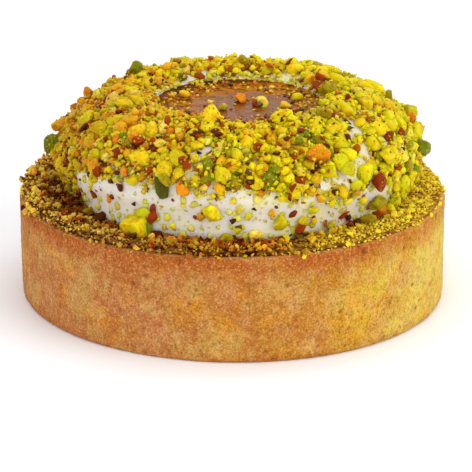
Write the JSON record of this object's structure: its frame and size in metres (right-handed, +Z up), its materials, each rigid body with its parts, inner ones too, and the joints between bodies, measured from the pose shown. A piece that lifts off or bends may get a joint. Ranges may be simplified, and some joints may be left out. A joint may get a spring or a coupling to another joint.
{
  "type": "pistachio tart",
  "caption": "Round shortcrust tart with a bed of ground nuts, a cream ring covered in chopped pistachios and a praline centre.",
  "frame": {"origin": "middle of the flat underside of the pastry case, on the case's axis", "axes": "+Z up along the case's axis, through the praline in the middle; +Y points away from the picture's view and +X to its right"},
  "size_m": [0.0801, 0.08, 0.0424],
  "materials": {
    "pastry": "matte baked shortcrust, finely sandy, browner under the rim",
    "ground_nuts": "matte loose crumbs of ground pistachio, yellow-olive to dark brown",
    "nutty_cream": "soft satin white cream, covered above in chopped pistachios",
    "praline": "glossy brown nut praline with fine dark and light specks"
  },
  "bodies": {
    "root": {"pastry_case": "pastry", "nut_bed": "ground_nuts", "cream_ring": "nutty_cream", "praline": "praline"}
  },
  "joints": []
}
